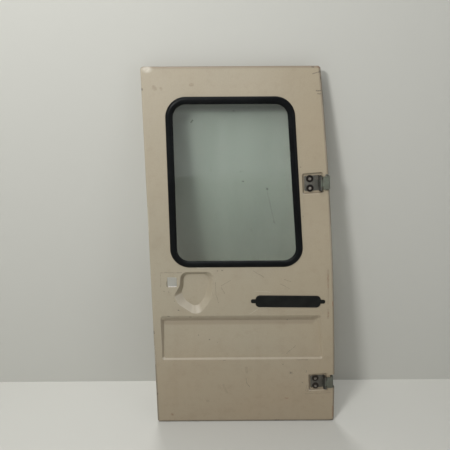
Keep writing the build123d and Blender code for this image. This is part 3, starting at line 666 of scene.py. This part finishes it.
def pin_gap_shade(tree, where):
    """Closeness to a line beside the hinge axis, broken up by noise: the painted shade in the gap along the
    pin.
    """
    aside = axis_out * (pin_gap_shade_from_axis * MM)
    points = (lower_hinge - axis_up + aside, upper_hinge + axis_up + aside)
    ends = [(point - skin_low) * Vector(flatten) for point in points]
    inputs = {"Place": where, "Start": ends[0], "End": ends[1], "Width": pin_gap_shade_width * MM}
    near = use_group(tree, scratch, inputs)["Mask"]
    return calc(tree, "MULTIPLY", near, patches(tree, where, 130.0, 0.25, 0.5, low=0.80))


def dirtier_low(tree, where, colour, share):
    """Colour mixed with road dirt by a share at the lower hinge, and clean at the upper one."""
    return blend(tree, ramp(tree, axes(tree, where)["Z"], *road_dirt_up, high=share), colour, road_dirt)


leaf_steel, tree, shader, where = new_finish("leaf_steel")
patch = patches(tree, where, 55.0, 0.42, 0.62, detail=6.0, roughness=0.65)
pits = noise(tree, where, 320.0, roughness=0.65)
colour = blend(tree, patch, steel_dark, steel_worn)
colour = blend(tree, ramp(tree, pits, 0.56, 0.70, high=0.5), colour, steel_rust)
colour = dirtier_low(tree, where, colour, leaf_dirt)
# Painted shade: a black stripe along the gap beside the pin.
colour = blend(tree, pin_gap_shade(tree, where), colour, pin_gap_shade_black)
roughness = ramp(tree, pits, 0.3, 0.7, low=0.45, high=0.75)
wear(tree, shader, colour, roughness, calc(tree, "MULTIPLY", pits, pit_height))
dress(leaf_steel, "upper_hinge_door_leaf", "lower_hinge_door_leaf")

strap_paint, tree, shader, where = new_finish("strap_paint")
patch = patches(tree, where, 45.0, 0.40, 0.66, detail=6.0, roughness=0.6)
bare = patches(tree, where, 130.0, 0.60, 0.68, detail=5.0, roughness=0.7)
colour = blend(tree, patch, strap_dark, strap_pale)
colour = blend(tree, calc(tree, "MULTIPLY", bare, strap_chips), colour, strap_rust)
colour = dirtier_low(tree, where, colour, strap_dirt)
# Painted shade: a black stripe along the gap beside the pin.
colour = blend(tree, pin_gap_shade(tree, where), colour, pin_gap_shade_black)
roughness = ramp(tree, patch, 0.0, 1.0, low=0.42, high=0.58)
wear(tree, shader, colour, roughness, calc(tree, "MULTIPLY", bare, -chip_depth))
dress(strap_paint, "upper_hinge_pillar_leaf", "lower_hinge_pillar_leaf")

pin_steel, tree, shader, where = new_finish("pin_steel")
stain = patches(tree, where, 90.0, 0.30, 0.52, detail=5.0, roughness=0.65)
colour = blend(tree, stain, pin_bright, pin_stained)
wear(tree, shader, colour, ramp(tree, stain, 0.0, 1.0, low=0.35, high=0.72))
shader.inputs["Metallic"].default_value = pin_metal
dress(pin_steel, "upper_hinge_pin", "lower_hinge_pin")

# Hinge bolts: hexagon heads on wide washers, two to each door leaf, screwed into the plates behind the
# pocket. Their black finish has rusted; the heads are rubbed a little brighter than the washers.
bolt_from_axis, bolt_spacing, leaf_front = -31.0, 29.5, 11.0
washer_radius, washer_flat, washer_top, washer_shoulder, washer_rim = 11.2, 0.94, 2.0, 1.9, 1.4
head_half_width, head_top, head_bevel, head_rim, bolt_foot = 4.1, 5.4, 5.1, 4.6, -0.2
corner_trim, crown_share = 1.04, 0.9
rubbed_depth, bolt_dirt, bolt_gloss, flake_height = (0.0018, -0.0002), 0.35, 0.2, 2.0e-4
bolt_black, bolt_rust = (0.0045, 0.0035, 0.0028, 1), (0.012, 0.007, 0.004, 1)
bolt_rubbed = (0.25, 0.225, 0.195, 1)
full_turn = np.linspace(0, 2 * np.pi, 48, endpoint=False)


def hexagon(angle, half_width):
    """Radius of a hexagon: its half width across flats over the cosine of the angle from the nearest flat."""
    return half_width / np.cos(angle % (np.pi / 3) - np.pi / 6)


def ringed(angle, rings):
    """Piece made of rings about its middle, drawn flat. A ring is a radius, one for all angles or one for
    each, and a height; its points lie at the radius times the cosine and the sine of the angle."""
    radius = np.stack([ring_radius + 0 * angle for ring_radius, ring_height in rings])
    height = np.array([[ring_height] for ring_radius, ring_height in rings]) + 0 * radius
    return radius * np.cos(angle), radius * np.sin(angle), height


def bolt_shape(turn):
    """Bolt from the middle of its head, over the bevelled hexagon and the washer, to its foot's middle."""
    six = hexagon(full_turn, head_half_width)
    trimmed = np.minimum(six, head_half_width * corner_trim)
    return ringed(full_turn + turn, [
        (0, head_top), (trimmed * crown_share, head_top), (trimmed, head_bevel), (six, head_rim),
        (six, washer_top), (washer_radius * washer_flat, washer_shoulder), (washer_radius, washer_rim),
        (washer_radius, bolt_foot), (0, bolt_foot),
    ])


def set_on(middle, across_way, along_way, out_way, across, along, height):
    """Row-frame points of a piece drawn flat: each is the middle plus its two distances along the surface and
    its height above it, all in millimetres, along the three given directions."""
    ways = [np.array(way) for way in (across_way, along_way, out_way)]
    offsets = sum(size[..., None] * way for size, way in zip((across, along, height), ways))
    return np.array(middle) + MM * offsets


bolt_steel, tree, shader, where = new_finish("bolt_steel")
flake = noise(tree, where, 240.0, detail=5.0, roughness=0.7)
raised = ramp(tree, axes(tree, where)["Y"], *rubbed_depth)
colour = blend(tree, ramp(tree, flake, 0.45, 0.62), bolt_black, bolt_rust)
highlight_and_rubbed = calc(tree, "MULTIPLY", raised, ramp(tree, flake, 0.35, 0.6, low=1.0, high=0.45))
colour = dirtier_low(tree, where, blend(tree, highlight_and_rubbed, colour, bolt_rubbed), bolt_dirt)
roughness = ramp(tree, flake, 0.3, 0.7, low=0.55, high=0.80)
wear(tree, shader, colour, roughness, calc(tree, "MULTIPLY", flake, flake_height))
shader.inputs["Specular IOR Level"].default_value = bolt_gloss
for hinge, axis_place in (("upper", upper_hinge), ("lower", lower_hinge)):
    leaf_place = axis_place + axis_out * (bolt_from_axis * MM) + Vector((0, leaf_front * MM, 0))
    for name, side, turn in (("upper", 0.5, 0.35), ("lower", -0.5, 0.8)):
        middle = leaf_place + axis_up * (side * bolt_spacing * MM)
        points = set_on(middle, axis_out, axis_up, (0, -1, 0), *bolt_shape(turn))
        bolt = surface(f"{hinge}_hinge_{name}_bolt", points, closed_columns=True)
        join_to(bolt, "door", "door_leaf_steel", bolt_steel)

# Latch: a pressed box behind the closing edge with a claw that closes on the vehicle's striker pin. Both
# are zinc plated, yellowed and dulled, with old grease round the claw.
zinc_bright, zinc_tarnished = (0.42, 0.39, 0.30, 1), (0.25, 0.22, 0.16, 1)
latch_grease, latch_grease_strength = (0.030, 0.024, 0.016, 1), 0.8
zinc_metal = 0.8
latch_zinc, tree, shader, where = new_finish("latch_zinc")
tarnish = patches(tree, where, 60.0, 0.35, 0.7, detail=6.0, roughness=0.6)
grease = patches(tree, where, 28.0, 0.52, 0.66)
colour = blend(tree, tarnish, zinc_bright, zinc_tarnished)
colour = blend(tree, calc(tree, "MULTIPLY", grease, latch_grease_strength), colour, latch_grease)
wear(tree, shader, colour, ramp(tree, tarnish, 0.0, 1.0, low=0.32, high=0.55))
shader.inputs["Metallic"].default_value = zinc_metal
dress(latch_zinc, "latch_case", "latch_claw")

# Latch screws: two round heads with a hexagon socket, above and below the slot, that hold the latch box to
# the leaning side of the closing post. Zinc plated like the box.
side_inset, side_front, side_lean, side_depth = 18.0, 12.0, 6.0, 26.0
screw_depth, screw_spread, latch_up = 25.0, 54.0, 455.0
screw_radius, socket_half_width, socket_floor, socket_top, screw_foot = 4.8, 2.0, 0.6, 2.5, -0.3
screw_dome = [(0.62, 2.4), (0.80, 1.9), (0.93, 1.2), (1.0, 0.4)]


def screw_shape():
    """Screw head from the middle of its socket's floor, up the hexagon, over the dome, whose rings are given
    as a share of the radius and a height, to the middle of its foot."""
    six = hexagon(full_turn, socket_half_width)
    dome = [(share * screw_radius, height) for share, height in screw_dome]
    foot = [(screw_radius, screw_foot), (0, screw_foot)]
    return ringed(full_turn, [(0, socket_floor), (six, socket_floor), (six, socket_top), *dome, *foot])


def place(along, up, depth):
    """Row-frame point of a place on the door, in millimetres from the closing edge, the foot and the face."""
    return Vector((skin_low.x + along * MM, skin_low.y + depth * MM, skin_low.z + up * MM))


lean_length = math.hypot(side_lean, side_depth)
side_out = Vector((-side_depth / lean_length, side_lean / lean_length, 0))
side_back = Vector((side_lean / lean_length, side_depth / lean_length, 0))
screw_along = side_inset + side_lean * (screw_depth - side_front) / side_depth
for name, side in (("upper", 0.5), ("lower", -0.5)):
    middle = place(screw_along, latch_up + side * screw_spread, screw_depth)
    points = set_on(middle, side_back, (0, 0, 1), side_out, *screw_shape())
    screw = surface(f"{name}_latch_screw", points, closed_columns=True)
    join_to(screw, "door", "latch_steel", latch_zinc)

# Trim clips: moulded sockets pushed into the inner frame round the lower opening, which used to hold the trim
# board. They are black plastic, empty, each a round collar with a blind hole in its middle.
waist_clip_up, foot_clip_up, closing_clip_along, hinge_clip_inset = 547.0, 56.0, 35.0, 62.0
waist_clips = [(along, waist_clip_up) for along in (170, 290, 410)]
foot_clips = [(along, foot_clip_up) for along in (90, 220, 350, 480)]
closing_clips = [(closing_clip_along, up) for up in (150, 300)]
hinge_clips = [(hinge_edge(up, hinge_clip_inset), up) for up in (200, 330, 460)]
frame_back = 38.0
clip_radius, hole_radius, hole_floor, hole_rim, clip_foot = 7.6, 2.8, 0.15, 1.5, -0.2
clip_crest = (1.25 * hole_radius, 1.9)
clip_collar = [(0.80 * clip_radius, 1.7), (0.95 * clip_radius, 1.1)]
clip_turn = np.linspace(0, 2 * np.pi, 32, endpoint=False)


def clip_shape():
    """Clip socket from the middle of its hole's floor, up the hole, over the rounded collar and down to the
    middle of its foot."""
    hole = [(0, hole_floor), (hole_radius, hole_floor), (hole_radius, hole_rim)]
    foot = [(clip_radius, clip_foot), (0, clip_foot)]
    return ringed(clip_turn, [*hole, clip_crest, *clip_collar, *foot])


for number, (along, up) in enumerate(waist_clips + foot_clips + closing_clips + hinge_clips, start=1):
    points = set_on(place(along, up, frame_back), (1, 0, 0), (0, 0, 1), (0, 1, 0), *clip_shape())
    clip = surface(f"trim_clip_{number}", points, closed_columns=True)
    join_to(clip, "door", "bar_black", bar_plastic)

# Floor and wall of the plain studio: a pale floor at the door's foot and a pale wall close behind it. The
# wall can be seen through from its back and lets lamp light through, so that the door's back is lit too.
wall_grey, wall_roughness = (0.490, 0.488, 0.450, 1), 0.8
floor_grey, floor_roughness = (0.530, 0.525, 0.486, 1), 0.75
clear_white = (1, 1, 1, 1)
wall_foot, wall_slope = 0.236, -0.172
left, right, front, back, high = -3.5, 3.0, -4.5, 4.5, 2.4
foot = skin_low.z
wall_head = wall_foot + wall_slope * (high - foot)


def flat_sheet(name, corners, grey, roughness):
    """Plane through four corners, as one cell of a grid, painted grey; returns its tree and shader."""
    made = surface(name, np.array(corners, float).reshape(2, 2, 3))
    paint, tree, shader = new_material(f"{name}_paint")
    shader.inputs["Base Color"].default_value = grey
    shader.inputs["Roughness"].default_value = roughness
    made.data.materials.append(paint)
    return tree, shader


flat_sheet("floor", [
    (left, front, foot), (right, front, foot), (left, back, foot), (right, back, foot),
], floor_grey, floor_roughness)
tree, shader = flat_sheet("wall", [
    (left, wall_foot, foot), (right, wall_foot, foot), (left, wall_head, high), (right, wall_head, high),
], wall_grey, wall_roughness)
seen_from_back = add(tree, "NewGeometry").outputs["Backfacing"]
to_lamp = add(tree, "LightPath").outputs["Is Shadow Ray"]
let_through(tree, shader, calc(tree, "MAXIMUM", seen_from_back, to_lamp), clear_white)

# Light: a soft lamp at the front left, a broad one high above the door, one behind the wall for the door's
# back, a weak one at the front right, and an even pale sky that looks brighter than it shines.
door_middle = (skin_low + skin_high) / 2
sky_tint, sky_light, sky_look = (0.95, 0.97, 1.0, 1), 0.29, 0.62


def lamp(name, position, width, height, watts):
    """Soft oblong lamp that faces the door's middle and isn't seen itself."""
    data = bpy.data.lights.new(name, "AREA")
    data.shape = "RECTANGLE"
    data.size = width
    data.size_y = height
    data.energy = watts
    made = bpy.data.objects.new(name, data)
    made.location = position
    made.rotation_euler = (door_middle - Vector(position)).to_track_quat("-Z", "Y").to_euler()
    made.visible_camera = False
    made.visible_transmission = False
    bpy.context.scene.collection.objects.link(made)


lamp("key_lamp", (-1.95, -2.68, 2.05), width=0.55, height=0.28, watts=65)
lamp("high_lamp", (-0.85, -1.20, 2.20), width=0.90, height=0.90, watts=14)
lamp("back_lamp", (-0.90, 2.60, 1.50), width=1.20, height=1.20, watts=40)
lamp("fill_lamp", (1.30, -1.60, 0.70), width=1.00, height=1.00, watts=5)
world = bpy.data.worlds.new("pale_sky")
world.use_nodes = True
tree = world.node_tree
sky = tree.nodes["Background"]
sky.inputs["Color"].default_value = sky_tint
rays = add(tree, "LightPath").outputs
looked_at = rays["Is Camera Ray"]
for ray in ("Is Glossy Ray", "Is Transmission Ray"):
    looked_at = calc(tree, "MAXIMUM", looked_at, rays[ray])
tree.links.new(ramp(tree, looked_at, 0.0, 1.0, low=sky_light, high=sky_look), sky.inputs["Strength"])
bpy.context.scene.world = world
bpy.context.scene.view_settings.view_transform = "Standard"

# Camera: as in the photograph, in front of the door, a little left of its middle and looking down on it. Its
# place is in millimetres on the door, its angles in degrees: turned, tipped down from level, and rolled.
camera_along, camera_up, camera_depth = 236.4, 1168.0, -1511.3
camera_turn, camera_tip, camera_roll = -0.143, 16.455, -0.306
camera_data = bpy.data.cameras.new("camera")
camera_data.sensor_width = 36.0
camera_data.lens = 40.45
camera = bpy.data.objects.new("camera", camera_data)
stood = Matrix.Translation(place(camera_along, camera_up, camera_depth))
turned = Matrix.Rotation(math.radians(camera_turn), 4, "Z")
tipped = Matrix.Rotation(math.radians(90.0 - camera_tip), 4, "X")
rolled = Matrix.Rotation(math.radians(camera_roll), 4, "Z")
camera.matrix_world = stood @ turned @ tipped @ rolled
bpy.context.scene.collection.objects.link(camera)
bpy.context.scene.camera = camera
